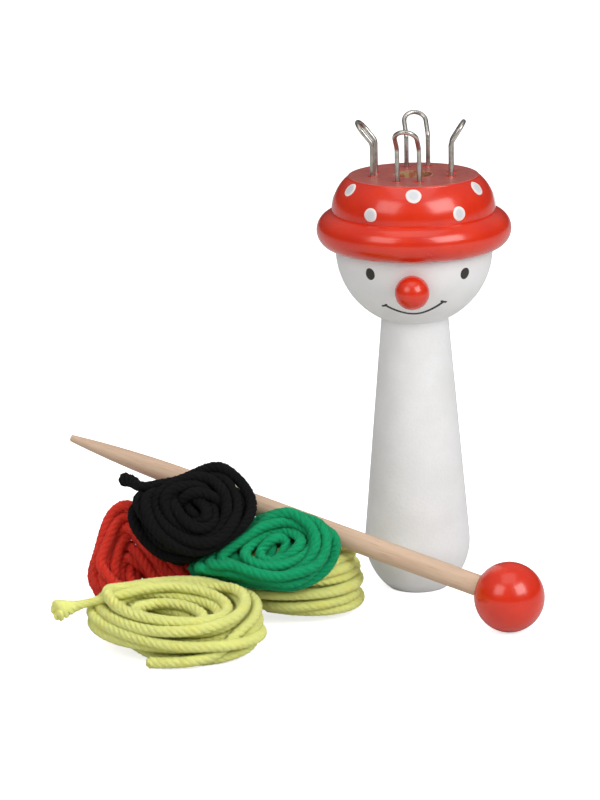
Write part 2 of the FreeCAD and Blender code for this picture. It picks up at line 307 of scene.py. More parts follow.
def yarn_fibre(name, color, dark_tone_and_shade, pale, sheen):
    """Soft spun yarn: fibres that run along each ply, with painted shade in the furrows between plies."""
    def build(t):
        uv = t.add("ShaderNodeUVMap", uv_map="strand").outputs[0]
        fibres = t.add("ShaderNodeMapping", {"Vector": uv, "Scale": (260.0, 14.0, 1.0)}).outputs[0]
        strands = t.noise(fibres, 1.0, 3.0, 0.6)
        where = t.objects()
        cloud = t.noise(where, 260.0, 2.0)
        fuzz = t.noise(where, 3200.0, 2.0, 0.7)
        furrow_shade = t.add("ShaderNodeAttribute", attribute_name="furrow_shade").outputs["Fac"]
        tone = t.mix(t.ramp(strands, 0.30, 0.75), color, pale)
        tone = t.mix(t.math("MULTIPLY", t.ramp(cloud, 0.45, 0.75), 0.25), tone, dark_tone_and_shade)
        # painted shade: the furrows between plies are mixed towards the dark colour
        tone = t.mix(t.math("MULTIPLY", furrow_shade, 0.45), tone, dark_tone_and_shade)
        height = t.math("ADD", strands, t.math("MULTIPLY", fuzz, 0.8))
        return {"Base Color": tone, "Roughness": t.math("ADD", 0.8, t.math("MULTIPLY", fuzz, 0.2)),
                "Normal": t.bump(height, 0.00022, 0.9)}
    return material(name, build, Sheen_Weight=sheen, Sheen_Roughness=0.5, Specular_IOR_Level=0.2)


def own(obj, made):
    """Gives an object one material in place of those it has."""
    obj.data.materials.clear()
    obj.data.materials.append(made)


# ---- meshes -------------------------------------------------------------------------------------------
def mesh_object(name, vertices, faces, made=None, smooth=True):
    mesh = bpy.data.meshes.new(name)
    mesh.from_pydata([tuple(v) for v in vertices], [], [tuple(f) for f in faces])
    mesh.validate()
    mesh.shade_smooth() if smooth else mesh.shade_flat()
    obj = bpy.data.objects.new(name, mesh)
    bpy.context.scene.collection.objects.link(obj)
    if made is not None:
        mesh.materials.append(made)
    return obj


# ---- paint marks --------------------------------------------------------------------------------------
def surface_of(node):
    """The outside of a node, for laying paint on."""
    mesh = frame["nodes"][node].data
    return BVHTree.FromPolygons([v.co[:] for v in mesh.vertices], [p.vertices[:] for p in mesh.polygons])


def laid(surface, point, lift):
    """The point of a surface nearest to a point, raised along the surface's normal."""
    place, normal, _, _ = surface.find_nearest(Vector(point))
    return np.array(place + normal * lift)


def head_way(azimuth, elevation):
    """A way out of the head's centre; azimuth 0 is the middle of the face, positive to the doll's left."""
    a, e = math.radians(azimuth), math.radians(elevation)
    return np.array([math.sin(a) * math.cos(e), -math.cos(a) * math.cos(e), math.sin(e)])


def drop_profile(share, thick):
    """How high a drop of paint stands: rounded down at its rim and a little hollow in the middle."""
    return thick * (math.sqrt(max(0.0, 1 - share ** 6)) - 0.22 * (1 - share ** 2) ** 2) - 0.00003


def paint_drop(name, half_wide, half_high, thick, made, seed=1):
    """A flat drop of paint in the XY plane, with its height kept as an attribute until it is laid.

    The attribute "rim" runs from 0 in the middle to 1 at the edge, for the painted reflection in the mark's
    middle.
    """
    rng = np.random.default_rng(seed)
    phase = rng.uniform(0, 6.28, 3)
    rings, steps = 9, 40
    vertices, lifts, rims, faces = [(0.0, 0.0, 0.0)], [drop_profile(0, thick)], [0.0], []
    for ring in range(1, rings + 1):
        share = math.sin(0.5 * math.pi * ring / rings)
        for step in range(steps):
            a = 2 * math.pi * step / steps
            uneven = 1 + share * (0.022 * math.sin(2 * a + phase[0]) + 0.014 * math.sin(3 * a + phase[1])
                                  + 0.008 * math.sin(5 * a + phase[2]))
            reach = share * uneven
            vertices.append((half_wide * reach * math.cos(a), half_high * reach * math.sin(a), 0))
            lifts.append(drop_profile(share, thick))
            rims.append(share)
    for step in range(steps):
        following = (step + 1) % steps
        faces.append((0, 1 + step, 1 + following))
        for ring in range(rings - 1):
            a, b = 1 + ring * steps + step, 1 + ring * steps + following
            faces.append((a, a + steps, b + steps, b))
    drop = mesh_object(name, vertices, faces, made)
    for label, values in (("lift", lifts), ("rim", rims)):
        kept = drop.data.attributes.new(label, "FLOAT", "POINT")
        kept.data.foreach_set("value", np.array(values, dtype=np.float32))
    return drop


def press_on(obj, surface):
    """Lay every vertex of a drop onto a surface, raised by its own height."""
    lifts = np.zeros(len(obj.data.vertices), dtype=np.float32)
    obj.data.attributes["lift"].data.foreach_get("value", lifts)
    for vertex, lift in zip(obj.data.vertices, lifts):
        vertex.co = laid(surface, vertex.co, float(lift))


# how unlike each other the scattered drops are: the smallest and largest size, and the draw's seed
DROP_SIZES = {"Smallest": 0.93, "Largest": 1.05, "Seed": 0}


def scatter_drops(name, drop, places, made):
    """One mesh of copies of a drop, each facing out along its own normal, made by Geometry Nodes."""
    seeds = bpy.data.meshes.new(name + "_places")
    seeds.from_pydata([tuple(place) for place, _ in places], [], [])
    facing = seeds.attributes.new("facing", "FLOAT_VECTOR", "POINT")
    facing.data.foreach_set("vector", np.array([way for _, way in places], dtype=np.float32).ravel())
    holder = bpy.data.objects.new(name + "_places", seeds)
    bpy.context.scene.collection.objects.link(holder)
    tree = bpy.data.node_groups.new(name + "_scatter", "GeometryNodeTree")
    tree.interface.new_socket("Geometry", in_out="INPUT", socket_type="NodeSocketGeometry")
    tree.interface.new_socket("Geometry", in_out="OUTPUT", socket_type="NodeSocketGeometry")
    kinds = {"Smallest": "NodeSocketFloat", "Largest": "NodeSocketFloat", "Seed": "NodeSocketInt"}
    sockets = {label: tree.interface.new_socket(label, in_out="INPUT", socket_type=kind)
               for label, kind in kinds.items()}
    t = Tree(tree)
    start = t.add("NodeGroupInput")
    facing = t.add("GeometryNodeInputNamedAttribute", {"Name": "facing"}, data_type="FLOAT_VECTOR")
    turned = t.add("FunctionNodeAlignRotationToVector", {"Vector": facing.outputs[0]}, axis="Z")
    sizes = t.add("FunctionNodeRandomValue", {2: start.outputs["Smallest"], 3: start.outputs["Largest"],
                                              "Seed": start.outputs["Seed"]}, data_type="FLOAT")
    copy = t.add("GeometryNodeObjectInfo", {"Object": drop})
    spread = t.add("GeometryNodeInstanceOnPoints", {
        "Points": start.outputs[0], "Instance": copy.outputs["Geometry"],
        "Rotation": turned.outputs[0], "Scale": sizes.outputs[1]})
    real = t.add("GeometryNodeRealizeInstances", {"Geometry": spread.outputs[0]})
    finish = t.add("GeometryNodeSetMaterial", {"Geometry": real.outputs[0], "Material": made})
    end = t.add("NodeGroupOutput")
    t.put(end.inputs[0], finish.outputs[0])
    modifier = holder.modifiers.new("scatter", "NODES")
    modifier.node_group = tree
    for label, value in DROP_SIZES.items():
        modifier[sockets[label].identifier] = value
    bpy.context.view_layer.update()
    evaluated = holder.evaluated_get(bpy.context.evaluated_depsgraph_get())
    mesh = bpy.data.meshes.new_from_object(evaluated)
    mesh.name = name
    made_object = bpy.data.objects.new(name, mesh)
    bpy.context.scene.collection.objects.link(made_object)
    bpy.data.objects.remove(holder)
    bpy.data.objects.remove(drop)
    return made_object


def ways_along(line):
    """The way along a line at each of its points."""
    along = np.gradient(line, axis=0)
    return along / np.linalg.norm(along, axis=1)[:, None]


def lengths_along(line):
    """How far along a line each of its points lies."""
    return np.concatenate([[0], np.cumsum(np.linalg.norm(np.diff(line, axis=0), axis=1))])


def brush_line(path, half_wide, thick, surface, start_index):
    """A stroke of paint along points near a surface: vertices and faces, rounded at both ends."""
    along, lengths = ways_along(path), lengths_along(path)
    vertices, faces = [], []
    across = 6
    for k, point in enumerate(path):
        place, normal, _, _ = surface.find_nearest(Vector(point))
        side = np.cross(along[k], np.array(normal))
        side /= np.linalg.norm(side)
        end = min(lengths[k], lengths[-1] - lengths[k]) / half_wide
        narrow = math.sqrt(max(0.02, 1 - max(0.0, 1 - end) ** 2))
        for j in range(across + 1):
            share = 2 * j / across - 1
            lift = thick * math.sqrt(max(0.0, 1 - share ** 4)) * narrow - 0.00002
            vertices.append(laid(surface, np.array(place) + side * share * half_wide * narrow, lift))
    for k in range(len(path) - 1):
        for j in range(across):
            a = start_index + k * (across + 1) + j
            faces.append((a, a + 1, a + across + 2, a + across + 1))
    return vertices, faces


# ---- yarn ---------------------------------------------------------------------------------------------
YARN_R = 1.6
# the spacing of a yarn's points while it settles
SPAN = 2.9
# how far turns of one hank press into each other, and how far different hanks stay apart
PRESS_IN = 0.22
HANK_GAP = 0.25
# how far they stay off the stick, off the flats between hanks and off the table
STICK_GAP = 0.3
FLAT_GAP = 0.1
TABLE_GAP = 0.05
# how far the yarn may swell past its hank's plain solid
SWELL = 2.6
# how strongly a point is drawn to where it was laid, at first and in the last rounds
HOME_PULL = 0.05
LAST_PULL = 0.01
LAST_ROUNDS = 40
# how strongly the yarn's own stiffness draws a point between its neighbours
STIFFNESS = 0.14
# points this near along the yarn never push each other
APART_BY = 3
# how often the points that could touch are looked up again, and how far off they may be
LOOK_EVERY = 6
LOOK_OUT = 2.5
# how much of an overlap, and of a stretch, each round takes away
PUSH_SHARE = 0.6
STRETCH_SHARE = 0.4
# each hank's centre, half sizes and slope in millimetres and degrees: those of its plain solid, apart from
# the front yellow one's centre, which is 0.2 mm higher
HANKS = {
    "yarn_yellow_front": ((-70.3, -60.5, 9.9), (25.0, 19.5, 8.4), 16.0, 0.0),
    "yarn_yellow_back": ((-33.5, -27.0, 9.8), (18.0, 15.5, 9.8), 0.0, 0.0),
    "yarn_red": ((-74.5, -24.5, 18.4), (22.5, 16.5, 18.4), 0.0, 0.0),
    "yarn_green": ((-45.0, -39.0, 24.0), (22.5, 14.0, 7.5), 48.0, 0.0),
    "yarn_black": ((-66.5, -37.0, 34.0), (19.5, 16.5, 9.5), 50.0, 8.0),
}
# the flats that the yarn of two hanks stays apart at, near those of the plain solids: the upper hank, the
# lower, a point between, the way up
PRESSED = [
    ("yarn_black", "yarn_green", (-54.8, -42.0, 27.2), (-0.52, 0.0, 0.85)),
    ("yarn_black", "yarn_red", (-72.0, -34.0, 28.0), (0.45, -0.60, 0.66)),
    ("yarn_green", "yarn_red", (-60.5, -34.0, 19.0), (0.50, -0.60, 0.62)),
    ("yarn_green", "yarn_yellow_back", (-38.0, -34.0, 17.2), (-0.30, -0.45, 0.84)),
    ("yarn_green", "yarn_yellow_front", (-58.0, -46.5, 17.2), (0.20, 0.48, 0.85)),
]
NEEDLE_SIDE = {"yarn_green": (0.0, 0.80, 0.60), "yarn_black": (0.0, 0.90, 0.44), "yarn_red": (0.0, 0.0, 1.0)}


def needle_axis():
    """The ball's centre and the way to the tip, from the two needle nodes, in millimetres."""
    low, high = (np.array(corner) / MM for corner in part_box("needle_ball"))
    ball = (low + high) / 2
    mesh = frame["nodes"]["needle_stick"].data
    points = np.array([v.co[:] for v in mesh.vertices]) / MM
    tip = points[np.argsort(points[:, 0])[:20]].mean(axis=0)
    way = tip - ball
    return ball, way / np.linalg.norm(way)


BALL, NEEDLE_WAY = needle_axis()
STICK_R = 3.15


def flats(name):
    """The planes that a hank's yarn stays behind, each as a point and the way out."""
    planes = []
    for upper, lower, point, way in PRESSED:
        way = np.array(way) / np.linalg.norm(way)
        if name == upper:
            planes.append((np.array(point), -way))
        if name == lower:
            planes.append((np.array(point), way))
    if name in NEEDLE_SIDE:
        side = np.array(NEEDLE_SIDE[name])
        side = side - NEEDLE_WAY * side.dot(NEEDLE_WAY)
        side /= np.linalg.norm(side)
        planes.append((BALL - side * (STICK_R + STICK_GAP), side))
    return planes


def turn_matrix(back_slope, left_slope):
    """How a hank's own plane is turned, from its two slopes in degrees."""
    rotation = Matrix.Rotation(math.radians(back_slope), 3, "X") @ Matrix.Rotation(
        math.radians(left_slope), 3, "Y")
    return np.array(rotation)


def skein(outer, inner, shares, levels, shifts=(), per_turn=24, seed=1, loose=1.0, part=0.35):
    """Turns of a skein between an outer and an inner outline, in millimetres in the hank's own plane.

    shares says how far in each turn lies, from 0 on the outer outline to 1 on the inner one, and levels
    how high it lies across the hank's thickness. shifts moves whole turns sideways, so that lower turns
    cross under the eye of the upper ones. One turn drifts into the next, and no two have quite the same
    shape: loose scales how far they stray. The last turn stops short by part of a turn.
    """
    rng = np.random.default_rng(seed)
    turns = len(shares)
    at = np.arange(int((turns - part) * per_turn)) / per_turn
    marks = np.arange(turns + 1)

    def drift(low, high):
        return np.interp(at, marks, rng.uniform(low * loose, high * loose, turns + 1))

    share = np.interp(at, marks[:-1], shares)
    level = np.interp(at, marks[:-1], levels) + drift(-0.5, 0.5) + 0.7 * loose * np.sin(2 * np.pi * at * 1.37)
    rings = []
    for outline in (outer, inner):
        corners = np.array(outline + outline[:1], float)
        around = (at % 1.0) * len(outline)
        knots = np.arange(len(corners))
        rings.append(np.stack([np.interp(around, knots, corners[:, k]) for k in (0, 1)], axis=1))
    flat = rings[0] * (1 - share)[:, None] + rings[1] * share[:, None]
    aside = np.zeros(turns)
    aside[:len(shifts)] = shifts
    aside = np.interp(at, marks[:-1], aside)
    lean = drift(-0.10, 0.10)
    x = flat[:, 0] * (1 + drift(-0.04, 0.04)) + drift(-0.9, 0.9) + aside
    y = flat[:, 1] * (1 + drift(-0.06, 0.06)) + drift(-0.7, 0.7)
    return np.column_stack([x * np.cos(lean) - y * np.sin(lean), x * np.sin(lean) + y * np.cos(lean), level])


def smoothed(points, passes):
    """Points along a line, each inner one averaged with its neighbours; the two ends stay."""
    for _ in range(passes):
        points = points.copy()
        points[1:-1] = (points[:-2] + 2 * points[1:-1] + points[2:]) / 4
    return points


def settle(strands, rounds=150):
    """Pushes all the yarns off each other, off the needle and the table, and behind the flats between hanks.

    strands maps a hank's name to its points and to how many points are held still at its two ends.
    """
    names = list(strands)
    points = np.vstack([strands[name][0] for name in names])
    counts = [len(strands[name][0]) for name in names]
    starts = np.concatenate([[0], np.cumsum(counts)])
    owner = np.repeat(np.arange(len(names)), counts)
    index = np.arange(len(points))
    held = np.zeros(len(points), bool)
    linked = np.ones(len(points) - 1, bool)
    for k, name in enumerate(names):
        first, last = strands[name][1]
        held[starts[k]:starts[k] + first] = True
        held[starts[k + 1] - last:starts[k + 1]] = True
        if k:
            linked[starts[k] - 1] = False
    home = points.copy()
    spans = np.linalg.norm(np.diff(points, axis=0), axis=1)
    inside = linked[1:] & linked[:-1]
    for step in range(rounds):
        if step % LOOK_EVERY == 0:
            # which points could touch in the next few rounds
            first, second = [], []
            for k in index[:-APART_BY - 1]:
                rest = points[k + 1:]
                close = np.flatnonzero(np.abs(rest - points[k]).max(axis=1) < 2 * YARN_R + LOOK_OUT) + k + 1
                close = close[(owner[close] != owner[k]) | (close - k > APART_BY)]
                first.append(np.full(len(close), k))
                second.append(close)
            first, second = np.concatenate(first), np.concatenate(second)
            wanted = 2 * YARN_R + np.where(owner[first] == owner[second], -PRESS_IN, HANK_GAP)
        delta = points[first] - points[second]
        distance = np.linalg.norm(delta, axis=1) + 1e-9
        overlap = np.maximum(wanted - distance, 0.0)
        push = (overlap / distance)[:, None] * delta
        hits = np.bincount(first, overlap > 0, len(points)) + np.bincount(second, overlap > 0, len(points))
        moved = points.copy()
        for axis in range(3):
            total = (np.bincount(first, push[:, axis], len(points))
                     - np.bincount(second, push[:, axis], len(points)))
            moved[:, axis] += PUSH_SHARE * total / np.maximum(hits, 1)
        moved += (HOME_PULL if step < rounds - LAST_ROUNDS else LAST_PULL) * (home - moved)
        middle = (moved[2:] + moved[:-2]) / 2
        moved[1:-1] += np.where(inside[:, None], STIFFNESS, 0.0) * (middle - moved[1:-1])
        for parity in (0, 1):
            ia = np.arange(parity, len(points) - 1, 2)
            ia = ia[linked[ia]]
            span = moved[ia + 1] - moved[ia]
            length = np.linalg.norm(span, axis=1) + 1e-9
            fix = (STRETCH_SHARE * (1 - spans[ia] / length))[:, None] * span
            moved[ia] += fix
            moved[ia + 1] -= fix
        for k, name in enumerate(names):
            part = slice(starts[k], starts[k + 1])
            centre, half, back_slope, left_slope = HANKS[name]
            turn = turn_matrix(back_slope, left_slope)
            local = (moved[part] - np.array(centre)) @ turn
            reach = np.linalg.norm(local / (np.array(half) + SWELL), axis=1)[:, None]
            moved[part] = np.array(centre) + (local / np.maximum(reach, 1)) @ turn.T
            for point, way in flats(name):
                over = (moved[part] - point) @ way + YARN_R + FLAT_GAP
                moved[part] -= np.maximum(over, 0)[:, None] * way
        # off the needle
        along = (moved - BALL) @ NEEDLE_WAY
        away = moved - BALL - along[:, None] * NEEDLE_WAY
        out = np.linalg.norm(away, axis=1)
        keep = STICK_R + YARN_R + (STICK_GAP + FLAT_GAP)
        moved += np.where(out < keep, keep / out - 1, 0.0)[:, None] * away
        moved[:, 2] = np.maximum(moved[:, 2], YARN_R + TABLE_GAP)
        moved[held] = home[held]
        points = moved
    return {name: points[starts[k]:starts[k + 1]] for k, name in enumerate(names)}


def smooth_line(name, points):
    """The yarn's centreline: a NURBS spline through the settled points, read back as a fine polyline."""
    curve = bpy.data.curves.new(name + "_line", "CURVE")
    curve.dimensions = "3D"
    spline = curve.splines.new("NURBS")
    spline.points.add(len(points) - 1)
    for target, point in zip(spline.points, points):
        target.co = (*(point * MM), 1.0)
    spline.order_u = 3
    spline.use_endpoint_u = True
    curve.resolution_u = 6
    holder = bpy.data.objects.new(name + "_line", curve)
    mesh = bpy.data.meshes.new_from_object(holder)
    line = np.array([v.co[:] for v in mesh.vertices])
    bpy.data.objects.remove(holder)
    bpy.data.curves.remove(curve)
    bpy.data.meshes.remove(mesh)
    return line


def resample(line, step):
    """A line's points at even spacing near a step, and how far along it each lies."""
    lengths = lengths_along(line)
    count = int(round(lengths[-1] / step)) + 1
    at = np.linspace(0, lengths[-1], count)
    return np.stack([np.interp(at, lengths, line[:, k]) for k in range(3)], axis=1), at


def carried_frames(line):
    """The way along a line at each point, and two ways across it, carried along without twist."""
    along = ways_along(line)
    first = np.cross(along[0], (0.0, 0.0, 1.0))
    if np.linalg.norm(first) < 0.1:
        first = np.cross(along[0], (0.0, 1.0, 0.0))
    side = [first / np.linalg.norm(first)]
    for k in range(1, len(line)):
        carried = side[-1] - along[k] * side[-1].dot(along[k])
        side.append(carried / np.linalg.norm(carried))
    side = np.array(side)
    return along, side, np.cross(along, side)


# a ply's radius as a share of the yarn's, and the spacing of the rings that make it
PLY_SHARE = 0.63
RING_STEP = 0.00085
# where the pinch behind a flared cut end lies, how long it is, and how long the loose plies are
PINCH_AT = 0.0105
PINCH_LONG = 0.003
LOOSE_LONG = 0.0075
# nothing of the yarn goes below this
YARN_LOWEST = 0.0001
# how far a loose fibre stands off, and half its width
FIBRE_REACH = 0.55
FIBRE_HALF = 0.000035


def plied_yarn(name, line, at, made, plies=4, lay=0.0078, sides=8, flare=0.0, fuzz=8):
    """Plies twisted round a centreline, as one mesh with a UV along and round each ply."""
    tangent, side, over = carried_frames(line)
    ply_r = PLY_SHARE * YARN_R * MM
    offset = YARN_R * MM - ply_r
    vertices, faces, uvs, furrows = [], [], [], []
    count = len(line)
    rng = np.random.default_rng(len(name) * 7 + count)
    wander = np.interp(at, np.linspace(0, at[-1], 40), rng.uniform(0.97, 1.10, 40))
    # where the yarn was cut its plies come loose and spread, after a pinch
    pinch = np.exp(-((at - PINCH_AT) / PINCH_LONG) ** 2)
    spread = 1 + flare * (1.5 * np.clip(1 - at / LOOSE_LONG, 0, 1) ** 1.2 - 0.35 * pinch)
    close = np.minimum(at, at[-1] - at)
    for ply in range(plies):
        phase = 2 * math.pi * (at / lay + ply / plies)
        out = np.cos(phase)[:, None] * side + np.sin(phase)[:, None] * over
        middle = line + (offset * wander * spread)[:, None] * out
        across = -np.sin(phase)[:, None] * side + np.cos(phase)[:, None] * over
        tip = np.clip(close / 0.0006, 0.25, 1.0) ** 0.5
        start = len(vertices)
        for k in range(count):
            r = ply_r * wander[k] * tip[k] * (0.4 + 0.6 * spread[k])
            for j in range(sides):
                a = 2 * math.pi * j / sides
                outward = math.cos(a)
                vertices.append(middle[k] + r * (outward * 1.05 * out[k] + math.sin(a) * 1.12 * across[k]))
                # how far a ring's vertex faces into the furrow between plies, for the painted shade there
                furrows.append(max(0.0, 0.25 - 0.7 * outward))
        for k in range(count - 1):
            for j in range(sides):
                a, b = start + k * sides + j, start + k * sides + (j + 1) % sides
                faces.append((a, b, b + sides, a + sides))
                u0, u1 = at[k] / 0.01, at[k + 1] / 0.01
                v0, v1 = ply + j / sides, ply + (j + 1) / sides
                uvs.append(((v0, u0), (v1, u0), (v1, u1), (v0, u1)))
        faces.append(tuple(start + j for j in reversed(range(sides))))
        uvs.append(tuple((ply + j / sides, 0.0) for j in reversed(range(sides))))
        last = start + (count - 1) * sides
        faces.append(tuple(last + j for j in range(sides)))
        uvs.append(tuple((ply + j / sides, at[-1] / 0.01) for j in range(sides)))
    # short loose fibres stand off the surface
    fibres = int(at[-1] / MM * fuzz)
    for k, a, reach, way in zip(rng.integers(2, count - 2, fibres), rng.uniform(0, 2 * math.pi, fibres),
                                rng.uniform(0.5, 1.25, fibres), rng.uniform(-1.6, 1.6, (fibres, 2))):
        out = math.cos(a) * side[k] + math.sin(a) * over[k]
        round_way = math.cos(a) * over[k] - math.sin(a) * side[k]
        root = line[k] + out * YARN_R * MM * 0.93
        tip = root + (out * 0.8 + tangent[k] * way[0] + round_way * way[1]) * FIBRE_REACH * reach * MM
        thin = np.cross(tip - root, out)
        thin *= FIBRE_HALF / max(np.linalg.norm(thin), 1e-9)
        start = len(vertices)
        vertices += [root - thin, root + thin, tip]
        furrows += [0.0, 0.0, 0.0]
        faces.append((start, start + 1, start + 2))
        uvs.append(((0.3, at[k] / 0.01),) * 3)
    vertices = np.array(vertices)
    vertices[:, 2] = np.maximum(vertices[:, 2], YARN_LOWEST)
    yarn = mesh_object(name, vertices, faces, made)
    layer = yarn.data.uv_layers.new(name="strand")
    flat = np.array([pair for face in uvs for pair in face], dtype=np.float32)
    layer.data.foreach_set("uv", flat.ravel())
    shade = yarn.data.attributes.new("furrow_shade", "FLOAT", "POINT")
    shade.data.foreach_set("value", np.array(furrows, dtype=np.float32))
    return yarn


# how each hank lies: its outlines in its own plane, then how far in and how high each turn lies
LAID = {
    "yarn_yellow_front": dict(
        outer=[(-25.5, 6), (-22, 12), (-13, 15.5), (-3, 16.5), (7, 17.4), (16, 16.2), (24, 10.5),
               (25, -3.5), (20, -12.5), (9, -17), (-4, -16.5), (-18, -8)],
        inner=[(-12.5, -1), (-11, 2), (-7, 4), (-2, 4.4), (3, 2.6), (8, -0.6), (11.5, -4.5), (11.0, -7.5),
               (8, -9), (3, -9.0), (-3, -7.6), (-9, -5)],
        shares=[0.75, 0.4, 0.12, 0.5, 0.95, 0.7, 0.7, 0.75, 0.35, 0.0, 0.45, 0.2, 0.0],
        levels=[4.2, 5.2, 4.2, 4.4, 3.0, -0.5, -2.0, -3.6, -2.8, -0.5, -2.0, -3.5, 0.3],
        shifts=[0, 0, 0, 0, 0, -6, -6, 7, 7, 0, 4, 4, 0], seed=23, loose=1.1, part=0.30),
    "yarn_yellow_back": dict(
        outer=[(-19, -2), (-16, 4.5), (-8, 9.5), (1, 12.5), (10.5, 13), (18, 9), (19.5, 0.5), (16.5, -8.5),
               (8.5, -14), (-1, -15.5), (-11, -14), (-17, -9)],
        inner=[(-12, -2), (-9, 0), (-5, 2), (0, 3), (4, 3.5), (7, 2), (8, 0), (7, -3), (4, -5), (-1, -6),
               (-6, -6), (-10, -4.5)],
        shares=[0.2, 0.6, 0.05, 0.5, 1.0, 0.4, 0.0, 0.6, 0.05, 0.45, 0.9],
        levels=[7.8, 6.6, 4.6, 3.9, 2.0, 1.0, 0.6, -2.5, -3.4, -6.0, -6.0], seed=6, loose=1.3),
    "yarn_red": dict(
        outer=[(-7, 20.5), (-2, 15), (3.5, 7.5), (10, 1), (18, -6), (25, -12), (9, -16), (-6, -16),
               (-16, -14), (-17, -6), (-14, 4), (-10.5, 13.5)],
        inner=[(-6.5, 9), (-4, 5), (-1, 1), (3, -3), (6, -7), (7, -10), (2, -12), (-4, -12), (-9, -11),
               (-11, -7), (-10, -1), (-8.5, 4)],
        shares=[0.6, 0.02, 0.26, 0.5, 0.75, 1.0, 1.25, 1.1, 1.1, 0.8, 0.8, 0.4, 0.1, 0.6, 0.3, 0.0],
        levels=[-4.0, 3.0, 2.2, 1.2, 0.2, -0.8, -2.0, -3.4, -3.8, -4.8, -5.4, -6.0, -5.0, -8.0, -10.0, -8.0],
        shifts=[0, 0, 0, 0, 0, 0, 0, 5, 5, -4, -4, 0, 0, 0, 0, 0], seed=25, loose=0.6),
    "yarn_green": dict(
        outer=[(-29, -9.5), (-18, -1.5), (-7.5, 6.5), (2.5, 12.2), (13, 12.8), (20.4, 9.0), (22.4, 1.5),
               (19.4, -6.5), (11, -12.2), (1, -13.4), (-9.5, -14.2), (-21, -14.2)],
        inner=[(-1, -3.5), (0.8, 0.3), (3.4, 2.8), (6, 4.2), (9, 3.9), (11, 2.2), (11.4, -1), (9.8, -4.6),
               (7, -7.2), (4, -8.4), (1.2, -7.8), (-0.6, -6.0)],
        shares=[0.5, 0.04, 0.28, 0.5, 0.74, 0.98, 0.9, 0.9, 0.7, 0.5, 0.2, 0.0, 0.55, 0.15],
        levels=[-3.0, 3.8, 4.6, 4.8, 4.6, 3.6, 0.9, 0.2, -0.6, 0.0, 1.2, -2.6, -3.6, -5.6],
        shifts=[0, 0, 0, 0, 0, 0, -9, -9, 5, 3, 0, 0, -5, -5], seed=32, loose=1.1),
    "yarn_black": dict(
        outer=[(-17.5, 4.5), (-14, 5), (-6.5, 4.6), (1.5, 8.0), (8.8, 18.0), (14.6, 13), (18, 2.5),
               (17.0, -8), (10, -15), (-2, -16), (-10, -12), (-15.5, -3)],
        inner=[(-6.5, 1.5), (-6, 3.4), (-4, 4), (-1.6, 4.4), (0.8, 3.4), (3.4, 0.6), (6, -3.4), (7, -6.6),
               (5, -8.2), (2, -6.5), (-1.4, -2.4), (-4.6, -0.4)],
        shares=[0.0, 0.2, 0.42, 0.64, 0.84, 1.0, 0.6, 0.6, 0.6, 0.6, 0.1, 0.4, 0.0, 0.2],
        levels=[3.2, 4.4, 5.4, 5.8, 5.8, 5.4, 2.8, 2.2, 1.0, 0.2, -1.0, -3.0, -3.6, -5.5],
        shifts=[0, 0, 0, 0, 0, 0, 7, 7, -6, -6, 0, 0, 0, 0], seed=61, loose=1.1),
}
# the planes of hanks whose turns lie at a slope of their own: a centre and the two slopes
LAID_IN = {
    "yarn_yellow_front": ((-70.3, -60.5, 9.7), 12.5, 0.0),
    "yarn_red": ((-79.0, -34.0, 18.0), 66.0, 0.0),
}
# free ends that lie as they fell: the first point is the cut end
CUT_ENDS = {
    ("yarn_yellow_front", "lead"): [(-103.0, -65.5, 13.9), (-100.5, -63.4, 13.9), (-97.5, -61.2, 14.0),
                                    (-95, -59.5, 14.6)],
    ("yarn_yellow_front", "tail"): [(-76.5, -75.5, 1.9), (-72.5, -76.6, 2.0), (-68, -77.2, 2.2),
                                    (-62, -76.8, 2.6), (-56, -74.5, 3.4)],
    ("yarn_black", "lead"): [(-86.2, -30.5, 42.8), (-83.5, -31.2, 42.9), (-80.5, -32.5, 42.8)],
}


def lay_out(name):
    """A hank's points before they settle, with its free ends, and how many points are held at each end."""
    centre, _, back_slope, left_slope = HANKS[name]
    if name in LAID_IN:
        centre, back_slope, left_slope = LAID_IN[name]
    turn = turn_matrix(back_slope, left_slope)
    points = np.array(centre) + skein(**LAID[name]) @ turn.T
    held = [0, 0]
    for side, key in enumerate(("lead", "tail")):
        if (name, key) not in CUT_ENDS:
            continue
        end = np.array(CUT_ENDS[name, key], float)
        long = np.linalg.norm(np.diff(end, axis=0), axis=1).sum()
        held[side] = int(long / SPAN) + 1
        points = np.vstack([end, points]) if key == "lead" else np.vstack([points, end[::-1]])
    points, _ = resample(points, SPAN)
    return smoothed(points, 2), held


def make_hank(name, points, made, body, flare=0.0, fuzz=8):
    """One hank's yarn along its settled points."""
    line, at = resample(smooth_line(name, smoothed(points, 1)), RING_STEP)
    yarn = plied_yarn(name + "_plied", line, at, made, flare=flare, fuzz=fuzz)
    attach(yarn, body)
    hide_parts(name)


# ---- the doll, the hooks and the needle ---------------------------------------------------------------
nodes = frame["nodes"]
HOOKS = ["hook_" + place for place in ("front", "right", "back", "left")]
own(nodes["body"], white_paint("white_body_paint", 1100.0, 0.42, 0.00012, 0.50))
own(nodes["head"], white_paint("white_head_paint", 1400.0, 0.22, 0.00004, 0.42))
own(nodes["cap"], red_paint("red_cap_paint", top=CAP_TOP, bore=True))
gloss_red = red_paint("red_bead_paint")
own(nodes["nose"], gloss_red)
own(nodes["needle_ball"], gloss_red)
wire = steel_wire()
for hook in HOOKS:
    own(nodes[hook], wire)
own(nodes["needle_stick"], bare_wood(NEEDLE_WAY))

# ---- dots and face ------------------------------------------------------------------------------------
on_cap = surface_of("cap")
on_head = surface_of("head")
# each mark's colours: its paint, the paint's cloudy tone, and the painted reflection in its middle
white_marks = paint_mark("white_mark_paint", (0.86, 0.80, 0.76, 1), (0.78, 0.70, 0.66, 1),
                         (0.60, 0.62, 0.64, 1), 0.35)
black_marks = paint_mark("black_mark_paint", (0.010, 0.010, 0.010, 1), (0.030, 0.024, 0.018, 1),
                         (0.022, 0.018, 0.014, 1), 0.40)


DOTS = 6
